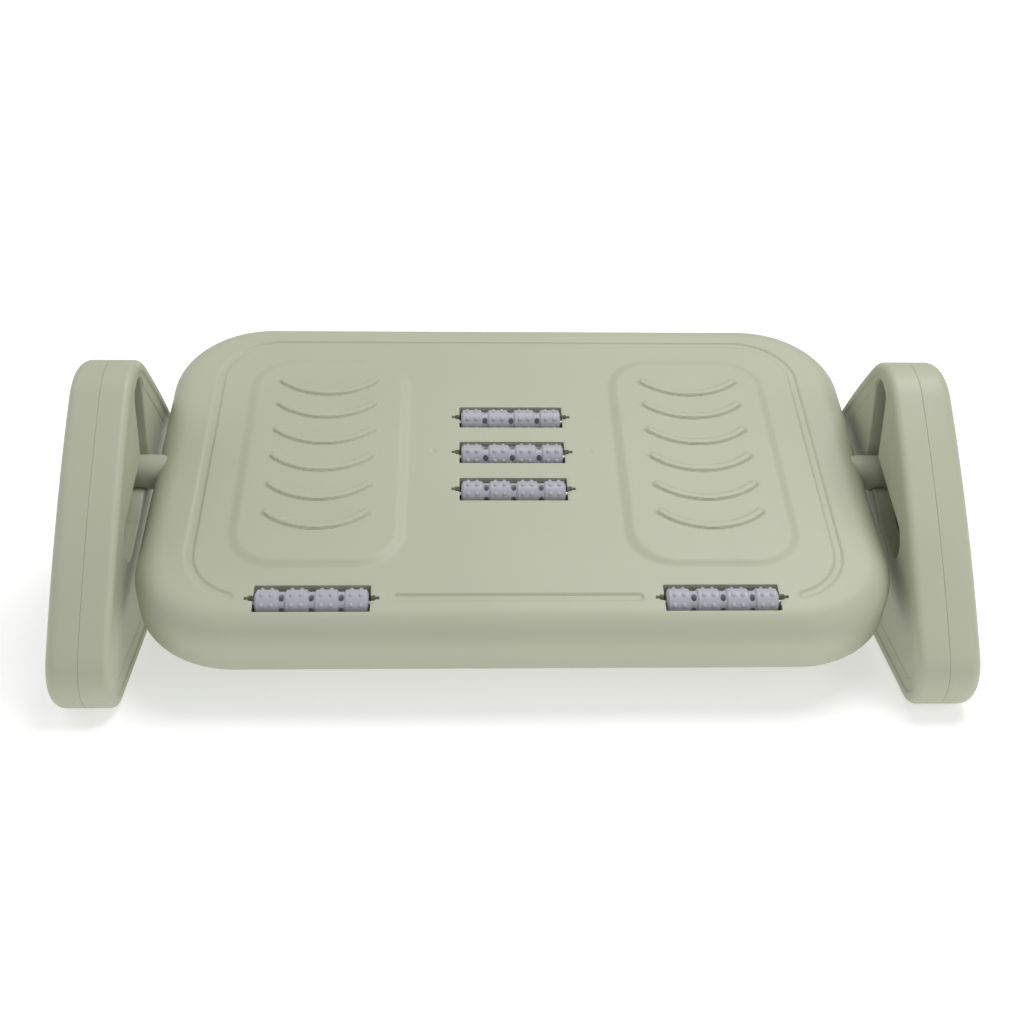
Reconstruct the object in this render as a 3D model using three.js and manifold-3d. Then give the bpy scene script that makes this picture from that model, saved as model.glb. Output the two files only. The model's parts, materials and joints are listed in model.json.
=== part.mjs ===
// Tilting footrest on two side legs, with five massage rollers in its platform.
// Millimetres, +Z up. X runs across the footrest, -Y is the side the user sits on.
// The origin is on the floor, under the middle of the whole footrest.

import * as THREE from 'three';
import { mergeVertices } from 'three/addons/utils/BufferGeometryUtils.js';
import Module from 'manifold-3d';

// ---------------------------------------------------------------- driving dimensions
const GAP = 0.3;              // clearance between touching pieces

const PIVOT_Y = 3.8;          // tilt axis, parallel to X
const PIVOT_Z = 90;
const TILT = 17.5;            // degrees, far edge up

const DECK_HALF_WIDTH = 222.5;
const DECK_HALF_LENGTH = 142.5;
const DECK_CENTRE_V = -2;     // deck middle, measured along the deck from the tilt axis
const DECK_CORNER = 62;
const DECK_TOP = 14;          // top face above the tilt axis
const DECK_HEIGHT = 35;
const DECK_EDGE_R = 17.5;     // rounding of the top edge
const DECK_WALL = 3.5;
const COVER_THICK = 3;
const COVER_RECESS = 0.5;     // cover sits this far inside the skirt

const SLOT_LENGTH = 66;       // roller slot, along X
const SLOT_WIDTH = 20.2;
const SLOT_FLOOR = -2.6;      // bottom of the slot, from the tilt axis
const CENTRE_SLOTS_V = [37.5, 3.5, -30.5];
const FRONT_SLOT_V = -121;
const FRONT_SLOT_X = 116.2;
const ROLLER_R = 8;
const ROLLER_NECK_R = 6.8;
const ROLLER_BORE_R = 2;
const ROLLER_AXIS_N = 9.3;    // roller axis above the tilt axis
const DRUM_LENGTH = 13.6;
const NECK_LENGTH = 3.1;
const AXLE_R = 1.5;
const AXLE_HALF_LENGTH = 37.4;
const NOTCH_WIDTH = 3.6;
const NOTCH_END = 38;         // notch tips, from the slot's middle

const LEG_INNER_X = 227;
const LEG_PARTING_X = 244;
const LEG_OUTER_X = 263.5;
const LEG_WALL = 3;
const LEG_BASE_Z = 1.2;       // shells stop here, the rubber pads reach the floor
const LEG_TOP_Z = 164;
const LEG_CENTRE_Y = -6;      // middle of the leg, from the tilt axis
const LEG_HALF_BASE = 117;    // middle of the leg to the middle of a bottom corner
const LEG_CORNER_R = 25;
const LEG_TOP_R = 41;
const LEG_SIDE_R = 700;       // the sloping sides are slightly bowed

const GUIDE_HALF_WIDTH = 11.8; // guide slot in the leg
const GUIDE_TOP_Z = 152;
const GUIDE_DEPTH = 12;       // how deep its side walls reach
const GUIDE_WALL = 2.5;
const SEAT_R = 11.4;
const POCKET_Y = 62.8;        // low position, this far in front of the seat
const POCKET_Z = 75;
const POCKET_R = 12.5;
const POCKET_RAMP = 17.3;     // degrees
const POCKET_ROOF = 19.5;     // degrees

const PEG_R = 11;
const PEG_INNER_X = 172;
const PEG_TIP_X = LEG_INNER_X + GUIDE_DEPTH + 0.5;
const PEG_CAP_R = 15.5;
const PEG_CAP_THICK = 2.4;

const PAD_LENGTH = 46;        // rubber pads under the legs
const PAD_WIDTH = 20;
const PAD_THICK = 2.8;
const PAD_Y = [-98, 86];      // from the tilt axis, within the flat of each foot

const DECK_SCREWS = [
  [-150, -88], [150, -88], [-190, 62], [190, 62],
  [-62, 88], [62, 88], [-62, -84], [62, -84],
];
const LEG_SCREWS = [[-45, 24], [33, 24], [79, 60]];

const rad = THREE.MathUtils.degToRad;

// ---------------------------------------------------------------- materials
function plastic(color, roughness) {
  return new THREE.MeshStandardMaterial({ color, roughness, metalness: 0 });
}

const sage = plastic(0xb7bca4, 0.5);
const sageInside = plastic(0xa9ae94, 0.6);
const lavenderGrey = plastic(0xb6b5c2, 0.45);
const rubber = plastic(0x2c2d2a, 0.9);
const steel = new THREE.MeshStandardMaterial({ color: 0xa8a9ab, roughness: 0.35, metalness: 1 });

// ---------------------------------------------------------------- solids
const wasm = await Module();
wasm.setup();

function solid(geometry) {
  const bare = geometry.index ? geometry.toNonIndexed() : geometry.clone();
  bare.deleteAttribute('normal');
  bare.deleteAttribute('uv');
  const merged = mergeVertices(bare, 1e-4);
  return new wasm.Manifold(new wasm.Mesh({
    numProp: 3,
    vertProperties: new Float32Array(merged.attributes.position.array),
    triVerts: new Uint32Array(merged.index.array),
  }));
}

function geometryOf(manifold) {
  const mesh = manifold.getMesh();
  const geometry = new THREE.BufferGeometry();
  geometry.setAttribute('position', new THREE.BufferAttribute(mesh.vertProperties, 3));
  geometry.setIndex(new THREE.BufferAttribute(mesh.triVerts, 1));
  return geometry;
}

// A closed body through a stack of anticlockwise outlines with the same number of points.
// rings: [[points, height], ...]; place(a, b, height) gives the point in space.
function loft(rings, place) {
  const count = rings[0][0].length;
  const positions = [];
  for (const [points, height] of rings) {
    for (const [a, b] of points) positions.push(...place(a, b, height));
  }
  const index = [];
  for (let r = 0; r + 1 < rings.length; r++) {
    for (let i = 0; i < count; i++) {
      const j = (i + 1) % count;
      const low = r * count;
      const high = low + count;
      index.push(low + i, low + j, high + j, low + i, high + j, high + i);
    }
  }
  const capOf = ([points]) => {
    const flat = points.map(([a, b]) => new THREE.Vector2(a, b));
    return THREE.ShapeUtils.triangulateShape(flat, []);
  };
  const last = (rings.length - 1) * count;
  for (const [a, b, c] of capOf(rings[0])) index.push(c, b, a);
  for (const [a, b, c] of capOf(rings[rings.length - 1])) index.push(last + a, last + b, last + c);
  const geometry = new THREE.BufferGeometry();
  geometry.setAttribute('position', new THREE.Float32BufferAttribute(positions, 3));
  geometry.setIndex(index);
  return solid(facingOut(geometry));
}

// Turns every triangle over when the body's signed volume is negative.
function facingOut(geometry) {
  const p = geometry.attributes.position;
  const index = geometry.index.array;
  const [a, b, c] = [new THREE.Vector3(), new THREE.Vector3(), new THREE.Vector3()];
  let volume = 0;
  for (let i = 0; i < index.length; i += 3) {
    a.fromBufferAttribute(p, index[i]);
    b.fromBufferAttribute(p, index[i + 1]);
    c.fromBufferAttribute(p, index[i + 2]);
    volume += a.dot(b.cross(c));
  }
  if (volume < 0) {
    for (let i = 0; i < index.length; i += 3) [index[i + 1], index[i + 2]] = [index[i + 2], index[i + 1]];
  }
  return geometry;
}

function block(x0, x1, y0, y1, z0, z1) {
  const box = new THREE.BoxGeometry(x1 - x0, y1 - y0, z1 - z0);
  return solid(box.translate((x0 + x1) / 2, (y0 + y1) / 2, (z0 + z1) / 2));
}

// Cylinder along X or Z, centred on (a, b), from low to high.
function rod(axis, radius, a, b, low, high, sides = 16) {
  const cylinder = new THREE.CylinderGeometry(radius, radius, high - low, sides);
  if (axis === 'x') cylinder.rotateZ(-Math.PI / 2).translate((low + high) / 2, a, b);
  else cylinder.rotateX(Math.PI / 2).translate(a, b, (low + high) / 2);
  return solid(cylinder);
}

function union(parts) {
  return parts.reduce((sum, part) => sum.add(part));
}

function minus(body, cuts) {
  return cuts.reduce((rest, cut) => rest.subtract(cut), body);
}

// ---------------------------------------------------------------- outlines
function arc(cx, cy, radius, from, to, steps) {
  const points = [];
  for (let i = 0; i <= steps; i++) {
    const angle = rad(from + (to - from) * i / steps);
    points.push([cx + radius * Math.cos(angle), cy + radius * Math.sin(angle)]);
  }
  return points;
}

function roundedRectangle(halfWidth, halfLength, centreV, corner, inset, steps = 8) {
  const r = Math.max(corner - inset, 1);
  const x = halfWidth - inset - r;
  const y = halfLength - inset - r;
  return [
    ...arc(x, centreV + y, r, 0, 90, steps),
    ...arc(-x, centreV + y, r, 90, 180, steps),
    ...arc(-x, centreV - y, r, 180, 270, steps),
    ...arc(x, centreV - y, r, 270, 360, steps),
  ];
}

function deckOutline(inset) {
  return roundedRectangle(DECK_HALF_WIDTH, DECK_HALF_LENGTH, DECK_CENTRE_V, DECK_CORNER, inset);
}

// Leg seen from the side: two bottom corners, a round top, and bowed sides tangent to both.
function legOutline(inset) {
  const cornerZ = LEG_BASE_Z + LEG_CORNER_R;
  const topZ = LEG_TOP_Z - LEG_TOP_R;
  const towardCorner = LEG_SIDE_R - LEG_CORNER_R;
  const towardTop = LEG_SIDE_R - LEG_TOP_R;
  const dy = LEG_HALF_BASE;
  const dz = topZ - cornerZ;
  const apart = Math.hypot(dy, dz);
  const along = (towardTop ** 2 - towardCorner ** 2 + apart ** 2) / (2 * apart);
  const across = Math.sqrt(towardTop ** 2 - along ** 2);
  // centre of the right-hand side's arc, below and to the left of the leg
  const sideY = along * dy / apart - across * dz / apart;
  const sideZ = topZ - along * dz / apart - across * dy / apart;
  const degrees = (y, z) => THREE.MathUtils.radToDeg(Math.atan2(z, y));
  const cornerTo = degrees(dy - sideY, cornerZ - sideZ);
  const topFrom = degrees(-sideY, topZ - sideZ);
  const half = [
    ...arc(dy, cornerZ, LEG_CORNER_R - inset, -90, cornerTo, 8),
    ...arc(sideY, sideZ, LEG_SIDE_R - inset, cornerTo, topFrom, 4).slice(1, -1),
    ...arc(0, topZ, LEG_TOP_R - inset, topFrom, 90, 5),
  ];
  const mirrored = half.slice(0, -1).reverse().map(([y, z]) => [-y, z]);
  return [...half, ...mirrored].map(([y, z]) => [y + LEG_CENTRE_Y, z]);
}

// Guide slot: a tall slot over a round seat, with a ramp down to a low pocket in front of it.
// grow widens it all round, for the outside of its collar.
function guideOutline(grow = 0) {
  const side = GUIDE_HALF_WIDTH + grow;
  const pocket = POCKET_R + grow;
  const roofY = POCKET_Y + pocket * Math.sin(rad(POCKET_ROOF));
  const roofZ = POCKET_Z + pocket * Math.cos(rad(POCKET_ROOF));
  const cornerY = side + 2.7;
  const cornerZ = roofZ + (roofY - cornerY) * Math.tan(rad(POCKET_ROOF));
  const rear = [
    ...arc(0, GUIDE_TOP_Z - GUIDE_HALF_WIDTH, side, 90, 0, 6),
    [side, PIVOT_Z + 2],
    ...arc(0, PIVOT_Z, SEAT_R + grow, -10, -90, 6),
  ];
  const front = [
    ...arc(0, GUIDE_TOP_Z - GUIDE_HALF_WIDTH, side, 90, 0, 6).slice(1),
    [side, cornerZ + 2.6],
    [side + 0.8, cornerZ + 0.9],
    [cornerY, cornerZ],
    ...arc(POCKET_Y, POCKET_Z, pocket, 90 - POCKET_ROOF, -90 - POCKET_RAMP, 8),
    [34.3, 70.8 - grow],
    [16, 81.4 - grow],
    [12.5, 82.8 - grow],
    ...arc(0, PIVOT_Z, SEAT_R + grow, -38, -90, 4).slice(0, -1),
  ];
  const mirrored = front.reverse().map(([y, z]) => [-y, z]);
  return [...rear, ...mirrored].reverse();
}

// ---------------------------------------------------------------- deck, in its own frame
// x across, y along the deck, z up from the tilt axis; the platform group tilts it.
const deckPlace = (x, v, n) => [x, v, n];
const skirtBottom = DECK_TOP - DECK_HEIGHT;
const roundStart = DECK_TOP - DECK_EDGE_R;
const rollerSeats = [
  ...CENTRE_SLOTS_V.map((v) => [0, v]),
  [-FRONT_SLOT_X, FRONT_SLOT_V],
  [FRONT_SLOT_X, FRONT_SLOT_V],
];

function roundedStack(inset, bottom, radius, steps) {
  const rings = [[deckOutline(inset), bottom]];
  for (let i = 0; i <= steps; i++) {
    const angle = rad(90 * i / steps);
    const height = roundStart + radius * Math.sin(angle);
    rings.push([deckOutline(inset + radius * (1 - Math.cos(angle))), height]);
  }
  return loft(rings, deckPlace);
}

function rollerSlot([x, v]) {
  const half = SLOT_LENGTH / 2;
  const width = SLOT_WIDTH / 2;
  const notchFloor = ROLLER_AXIS_N - AXLE_R - GAP;
  return union([
    block(x - half, x + half, v - width, v + width, SLOT_FLOOR, DECK_TOP + 1),
    block(x - NOTCH_END, x + NOTCH_END, v - NOTCH_WIDTH / 2, v + NOTCH_WIDTH / 2, notchFloor, DECK_TOP + 1),
  ]);
}

function rollerWell([x, v]) {
  const half = SLOT_LENGTH / 2 + 7;
  const width = SLOT_WIDTH / 2 + 2;
  return block(x - half, x + half, v - width, v + width, SLOT_FLOOR - 2, DECK_TOP - 2);
}

function deckTopShell() {
  const outer = roundedStack(0, skirtBottom, DECK_EDGE_R, 6);
  const hollow = roundedStack(DECK_WALL, skirtBottom - 1, DECK_EDGE_R - DECK_WALL, 4);
  const coverTop = skirtBottom + COVER_RECESS + COVER_THICK + GAP;
  const bosses = DECK_SCREWS.map(([x, v]) => rod('z', 5, x, v, coverTop, DECK_TOP - 2, 10));
  const pilots = DECK_SCREWS.map(([x, v]) => rod('z', 1.8, x, v, coverTop - 1, 0, 8));
  const sockets = [-1, 1].map((side) => {
    const [low, high] = side > 0 ? [PEG_INNER_X - 4, 216] : [-216, -PEG_INNER_X + 4];
    return rod('x', PEG_R + 2.8, 0, 0, low, high, 20);
  });
  const bores = [-1, 1].map((side) => {
    const [low, high] = side > 0 ? [PEG_INNER_X - GAP, 230] : [-230, -PEG_INNER_X + GAP];
    return rod('x', PEG_R + GAP, 0, 0, low, high, 24);
  });
  const inside = union([...bosses, ...sockets, ...rollerSeats.map(rollerWell)]);
  const shell = outer.subtract(hollow).add(inside.intersect(outer));
  return minus(shell, [...pilots, ...bores, ...rollerSeats.map(rollerSlot)]);
}

function deckBottomCover() {
  const low = skirtBottom + COVER_RECESS;
  const inset = DECK_WALL + GAP;
  const outline = roundedRectangle(DECK_HALF_WIDTH, DECK_HALF_LENGTH, DECK_CENTRE_V, DECK_CORNER, inset, 6);
  const plate = loft([[outline, low], [outline, low + COVER_THICK]], deckPlace);
  const holes = DECK_SCREWS.map(([x, v]) => rod('z', 1.9, x, v, low - 1, low + COVER_THICK + 1, 8));
  const recesses = DECK_SCREWS.map(([x, v]) => rod('z', 4, x, v, low - 1, low + 1.7, 12));
  return minus(plate, [...holes, ...recesses]);
}

// Pan-head screw along +Z from the underside of its head.
function screwGeometry(headR, headHeight, shankR, length) {
  const profile = [[0, -headHeight], [headR * 0.8, -headHeight], [headR, -headHeight * 0.5], [headR, 0],
    [shankR, 0], [shankR, length - 1.5], [0, length]];
  return new THREE.LatheGeometry(profile.map(([r, z]) => new THREE.Vector2(r, z)), 10).rotateX(Math.PI / 2);
}

function rollerGeometry() {
  const bevel = 1.1;
  const low = ROLLER_R - 0.9;
  const profile = [];
  const full = 4 * DRUM_LENGTH + 3 * NECK_LENGTH;
  for (let i = 0; i < 4; i++) {
    const start = -full / 2 + i * (DRUM_LENGTH + NECK_LENGTH);
    const end = start + DRUM_LENGTH;
    profile.push([low, start], [ROLLER_R, start + bevel], [ROLLER_R, end - bevel], [low, end]);
    if (i < 3) profile.push([ROLLER_NECK_R, end + 0.1], [ROLLER_NECK_R, end + NECK_LENGTH - 0.1]);
  }
  profile.push([ROLLER_BORE_R, full / 2], [ROLLER_BORE_R, -full / 2], profile[0]);
  const lathe = new THREE.LatheGeometry(profile.map(([r, z]) => new THREE.Vector2(r, z)), 14);
  return lathe.rotateZ(-Math.PI / 2);
}

function axleGeometry() {
  return new THREE.CylinderGeometry(AXLE_R, AXLE_R, 2 * AXLE_HALF_LENGTH, 12).rotateZ(Math.PI / 2);
}

// ---------------------------------------------------------------- legs, built for the +X side
const legPlace = (y, z, x) => [x, y, z];

function padPocket(y) {
  const x = (LEG_INNER_X + LEG_OUTER_X) / 2;
  return block(x - PAD_WIDTH / 2 - GAP, x + PAD_WIDTH / 2 + GAP,
    y - PAD_LENGTH / 2 - GAP, y + PAD_LENGTH / 2 + GAP, -1, PAD_THICK + GAP);
}

function legInnerShell() {
  const face = LEG_INNER_X;
  const outer = loft([
    [legOutline(3.2), face],
    [legOutline(1.1), face + 0.9],
    [legOutline(0), face + 3.2],
    [legOutline(0), LEG_PARTING_X],
  ], legPlace);
  const hollow = loft([
    [legOutline(LEG_WALL + 1), face + LEG_WALL],
    [legOutline(LEG_WALL), LEG_PARTING_X + 1],
  ], legPlace);
  const guide = guideOutline();
  const collarOutline = guideOutline(GUIDE_WALL);
  const collar = loft([[collarOutline, face + 1], [collarOutline, face + GUIDE_DEPTH]], legPlace);
  const bosses = LEG_SCREWS.map(([y, z]) => rod('x', 6, y, z, face + 1, LEG_PARTING_X - GAP, 12));
  const cuts = [
    loft([[guide, face - 1], [guide, face + GUIDE_DEPTH + 1]], legPlace),
    ...LEG_SCREWS.map(([y, z]) => rod('x', 1.9, y, z, face - 1, LEG_PARTING_X + 1, 8)),
    ...LEG_SCREWS.map(([y, z]) => rod('x', 3.8, y, z, face - 1, face + 4, 12)),
    ...PAD_Y.map(padPocket),
  ];
  return minus(union([outer.subtract(hollow), collar, ...bosses]), cuts);
}

function legOuterShell() {
  const start = LEG_PARTING_X + GAP;
  const inside = LEG_OUTER_X - LEG_WALL;
  const outer = loft([
    [legOutline(0), start],
    [legOutline(0), LEG_OUTER_X - 5],
    [legOutline(1.5), LEG_OUTER_X - 1.5],
    [legOutline(5), LEG_OUTER_X],
  ], legPlace);
  const hollow = loft([
    [legOutline(LEG_WALL), start - 1],
    [legOutline(LEG_WALL), LEG_OUTER_X - 6],
    [legOutline(LEG_WALL + 3), inside],
  ], legPlace);
  const bosses = LEG_SCREWS.map(([y, z]) => rod('x', 5, y, z, start, inside + 1, 12));
  const cuts = [
    ...LEG_SCREWS.map(([y, z]) => rod('x', 1.9, y, z, start - 1, start + 12, 8)),
    ...PAD_Y.map(padPocket),
  ];
  return minus(union([outer.subtract(hollow), ...bosses]), cuts);
}

function footPad(y) {
  const x = (LEG_INNER_X + LEG_OUTER_X) / 2;
  return block(x - PAD_WIDTH / 2, x + PAD_WIDTH / 2, y - PAD_LENGTH / 2, y + PAD_LENGTH / 2, 0, PAD_THICK);
}

// Peg with a screw hole in its tip; the cap and its screw keep the leg on.
function peg() {
  const length = PEG_TIP_X - PEG_INNER_X;
  const body = rod('x', PEG_R, 0, 0, PEG_INNER_X, PEG_TIP_X, 24);
  return body.subtract(rod('x', 1.9, 0, 0, PEG_TIP_X - length / 3, PEG_TIP_X + 1, 8));
}

function pegCap() {
  const low = PEG_TIP_X + GAP;
  const disc = rod('x', PEG_CAP_R, 0, 0, low, low + PEG_CAP_THICK, 24);
  return disc.subtract(rod('x', 2, 0, 0, low - 1, low + PEG_CAP_THICK + 1, 8));
}

function mirroredX(manifold) {
  return manifold.mirror([1, 0, 0]);
}

// ---------------------------------------------------------------- assembly
const footrest = new THREE.Group();

function add(parent, name, geometry, material, place = [0, 0, 0]) {
  const mesh = new THREE.Mesh(geometry, material);
  mesh.name = name;
  mesh.position.set(...place);
  parent.add(mesh);
  return mesh;
}

const platform = new THREE.Group();
platform.position.set(0, PIVOT_Y, PIVOT_Z);
platform.rotation.x = rad(TILT);
footrest.add(platform);

add(platform, 'deck_top_shell', geometryOf(deckTopShell()), sage);
add(platform, 'deck_bottom_cover', geometryOf(deckBottomCover()), sageInside);
const deckScrew = screwGeometry(3.6, 1.3, 1.5, 12);
const coverSeat = skirtBottom + COVER_RECESS + 1.7 - GAP;
DECK_SCREWS.forEach(([x, v], i) => {
  add(platform, `deck_screw_${i + 1}`, deckScrew, steel, [x, v, coverSeat]);
});

const rollerNames = ['centre_far', 'centre_middle', 'centre_near', 'front_left', 'front_right'];
const rollerShape = rollerGeometry();
const axleShape = axleGeometry();
rollerSeats.forEach(([x, v], i) => {
  add(platform, `roller_${rollerNames[i]}`, rollerShape, lavenderGrey, [x, v, ROLLER_AXIS_N]);
  add(platform, `roller_axle_${rollerNames[i]}`, axleShape, steel, [x, v, ROLLER_AXIS_N]);
});

const legScrew = screwGeometry(3.4, 1.6, 1.5, 22);
const capScrew = screwGeometry(3.4, 1.6, 1.5, 14);
for (const [word, side] of [['left', -1], ['right', 1]]) {
  const sided = (manifold) => geometryOf(side > 0 ? manifold : mirroredX(manifold));
  const leg = new THREE.Group();
  leg.position.y = PIVOT_Y;
  footrest.add(leg);
  add(leg, `leg_inner_shell_${word}`, sided(legInnerShell()), sage);
  add(leg, `leg_outer_shell_${word}`, sided(legOuterShell()), sage);
  add(leg, `foot_pad_front_${word}`, sided(footPad(PAD_Y[0])), rubber);
  add(leg, `foot_pad_rear_${word}`, sided(footPad(PAD_Y[1])), rubber);
  LEG_SCREWS.forEach(([y, z], i) => {
    const seat = [side * (LEG_INNER_X + 4 - GAP), y, z];
    const screw = add(leg, `leg_screw_${word}_${i + 1}`, legScrew, steel, seat);
    screw.rotation.y = side * Math.PI / 2;
  });
  const pegGroup = new THREE.Group();
  pegGroup.position.set(0, PIVOT_Y, PIVOT_Z);
  footrest.add(pegGroup);
  add(pegGroup, `pivot_peg_${word}`, sided(peg()), sage);
  add(pegGroup, `peg_cap_${word}`, sided(pegCap()), sageInside);
  const tip = side * (PEG_TIP_X + 2 * GAP + PEG_CAP_THICK);
  add(pegGroup, `peg_cap_screw_${word}`, capScrew, steel, [tip, 0, 0]).rotation.y = -side * Math.PI / 2;
}

export default footrest;
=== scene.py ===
"""Looks for a tilting footrest with massage rollers.

Shapes are worked out in millimetres and turned into metres when their mesh is made. The platform's
pieces use the platform's own frame: x across, v along the platform away from the user, n up from the
tilt axis. The legs' pieces use y from the tilt axis towards the rear, z up from the floor, and x out
from the middle of the footrest.
"""

import json
import math

import bmesh
import bpy
import numpy as np
from mathutils import Matrix, Vector


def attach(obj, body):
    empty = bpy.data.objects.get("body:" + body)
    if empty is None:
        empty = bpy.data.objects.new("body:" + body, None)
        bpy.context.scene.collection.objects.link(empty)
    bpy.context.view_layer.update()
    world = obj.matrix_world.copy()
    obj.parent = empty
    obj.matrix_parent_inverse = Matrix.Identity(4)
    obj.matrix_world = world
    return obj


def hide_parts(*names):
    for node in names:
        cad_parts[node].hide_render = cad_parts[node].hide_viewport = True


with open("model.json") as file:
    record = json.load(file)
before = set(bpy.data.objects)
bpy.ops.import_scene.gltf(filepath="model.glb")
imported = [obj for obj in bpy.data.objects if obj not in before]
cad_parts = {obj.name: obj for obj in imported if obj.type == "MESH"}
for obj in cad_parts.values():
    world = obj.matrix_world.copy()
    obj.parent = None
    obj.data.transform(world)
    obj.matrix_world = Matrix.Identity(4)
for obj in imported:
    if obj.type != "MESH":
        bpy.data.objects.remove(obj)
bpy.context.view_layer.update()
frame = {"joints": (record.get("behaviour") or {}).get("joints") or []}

# ---------------------------------------------------------------- sizes, in millimetres
MM = 0.001
joints = {joint["name"]: joint for joint in frame["joints"]}
PIVOT = np.array(joints["platform_tilt"]["pos_m"]) / MM
TILT = math.radians(17.5)

DECK_HALF_WIDTH = 222.5
DECK_HALF_LENGTH = 142.5
DECK_CENTRE_V = -2
DECK_CORNER = 62
DECK_TOP = 14
DECK_HEIGHT = 35
DECK_EDGE_R = 17.5
DECK_RIM_R = 1.6
DECK_WALL = 3.5
CORNER_STEPS = 60             # rays in each of the platform's corners
GRID_STEP = 0.8
COVER_THICK = 3
COVER_RECESS = 0.5
COVER_SEAT_DEPTH = 1.7

GROOVE_HALF_WIDTH = 3.2
GROOVE_DEPTH = 1.1
GROOVE_SLOPE = 1.6            # width of each flank
GROOVE_X = 189.4              # middle of the groove
GROOVE_V = (-120.5, 114.5)
GROOVE_CORNER = 37
GROOVE_FRONT_END = 72         # the front stretch stops before each front roller
GROOVE_CORNER_END = 160

PAD_X = 117                   # raised foot areas
PAD_HALF_WIDTH = 53
PAD_V = (-98.5, 97)
PAD_CORNER = 30
PAD_BEVEL = 7.5
PAD_HEIGHT = 2

RIDGE_X = 118                 # crescent ridges on each foot area
RIDGE_V = [56.2, 33, 7.7, -17.4, -43.4, -68.2]
RIDGE_HALF_CHORD = 33
RIDGE_R = 46
RIDGE_WIDTH = 6.4
RIDGE_HEIGHT = 1.6
RIDGE_STEEP = 1.1             # width of the flank nearer the user
RIDGE_SOFT = 2.2              # width of the other flank
DIMPLES = [(-49.5, 4.5), (49.5, 4.5)]
DIMPLE_R = 2.2
DIMPLE_DEPTH = 0.7

SLOT_LENGTH = 66
SLOT_WIDTH = 20.2
SLOT_FLOOR = -2.6
SLOT_ROLL = 1.2               # width of the rounding along each slot
SLOT_ROLL_DEPTH = 0.35
SLOT_WELL = (7, 2)            # how far the block round a slot goes past its ends and sides
NOTCH = [(35.6, -2.1), (35.6, -1.2), (38, -1.2), (38, 1.2), (35.6, 1.2), (35.6, 2.1)]
ROLLERS = {                   # x, v and the turn at which each roller stands, in degrees
    "centre_far": (0, 37.5, 5),
    "centre_middle": (0, 3.5, 65),
    "centre_near": (0, -30.5, 38),
    "front_left": (-116.2, -121, 34),
    "front_right": (116.2, -121, 30),
}
VIEW_TURN = 137               # turn 0 of a roller, from straight away along the platform, in degrees
BUMP_TURN = 8                 # a row of bumps, after a row of holes, in degrees
BUMP_SPACING = 45             # in degrees
BUMP_FROM_MIDDLE = 2.7        # of its drum
BUMP_R = 1.25
BUMP_HEIGHT = 0.95
HOLE_SPACING = 72             # in degrees
HOLE_SIZE = (2.2, 1.45)       # half sizes, round the neck and along it
HOLE_DEPTH = 4.3
ROLLER_R = 8
ROLLER_NECK_R = 6.8
ROLLER_BORE_R = 2
ROLLER_AXIS_N = 9.3
ROLLER_END = (1.2, 0.8)       # length and depth of the rounding at a roller's ends
DRUM_FLANK = 1.3
DRUM_LENGTH = 13.6
NECK_LENGTH = 3.1
AXLE_R = 1.5
AXLE_HALF_LENGTH = 37.4

LEG_INNER_X = 227
LEG_PARTING_X = 244
LEG_OUTER_X = 263.5
LEG_WALL = 3
LEG_BASE_Z = 1.2
LEG_TOP_Z = 164
LEG_CENTRE_Y = -6
LEG_HALF_BASE = 117
LEG_CORNER_R = 25
LEG_TOP_R = 41
LEG_SIDE_R = 700
LEG_LIP_R = 4
LEG_RIM_R = 8
LEG_SEAM = 0.15               # bevel on each half along the parting line
LEG_HALVES_APART = 0.1
LEG_DISH = 1.6                # depth of the inner face below the lip
LEG_FACE_STEPS = [            # from the outline, and down from the lip
    (6, 0), (6.6, 0.2), (7.6, 0.9), (8.4, 1), (13, 1), (14.2, 1.2), (15.2, LEG_DISH), (17, LEG_DISH),
]
LEG_SCREWS = [(-45, 24), (33, 24), (79, 60)]
LEG_SEAT_DEPTH = 4

GUIDE_HALF_WIDTH = 11.8
GUIDE_TOP_Z = 152
GUIDE_DEPTH = 12
GUIDE_WALL = 2.5
SEAT_R = 11.4
POCKET_Y = 62.8
POCKET_Z = 75
POCKET_R = 12.5
POCKET_RAMP = 17.3            # slope of the ramp where it meets the pocket, in degrees
POCKET_ROOF = 19.5            # slope of the roof over the ramp, in degrees
RAMP = [(34.3, 70.8), (16, 81.4), (12.5, 82.8)]     # from the tilt axis, and from the floor
ROOF_CORNER = [(0, 2.6), (0.8, 0.9), (2.7, 0)]      # out from the slot, and up from the roof's end

PEG_R = 11
PEG_INNER_X = 172
PEG_TIP_X = LEG_INNER_X + GUIDE_DEPTH + 0.5
PEG_CAP_R = 15.5
PEG_CAP_THICK = 2.4
FOOT_LENGTH = 46
FOOT_WIDTH = 20
FOOT_THICK = 2.8
FOOT_CORNER = 3
FOOT_Y = {"front": -98, "rear": 86}
TREAD_STEP = 4.6
TREAD_HALF_WIDTH = 0.6
TREAD_DEPTH = 0.7
DECK_SCREWS = [
    (-150, -88), (150, -88), (-190, 62), (190, 62),
    (-62, 88), (62, 88), (-62, -84), (62, -84),
]
SCREW_R = 1.5
SCREW_HOLE_R = 1.9
CAP_HOLE_R = 2
THREAD_PITCH = 0.8
THREAD_DEPTH = 0.25
RECESS_HALF = (0.35, 1.7)     # half width and half length of each arm of a screw's cross
RECESS_DEPTH = 0.75
GAP = 0.3                     # between parts that fit together

SKIRT_BOTTOM = DECK_TOP - DECK_HEIGHT

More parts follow.
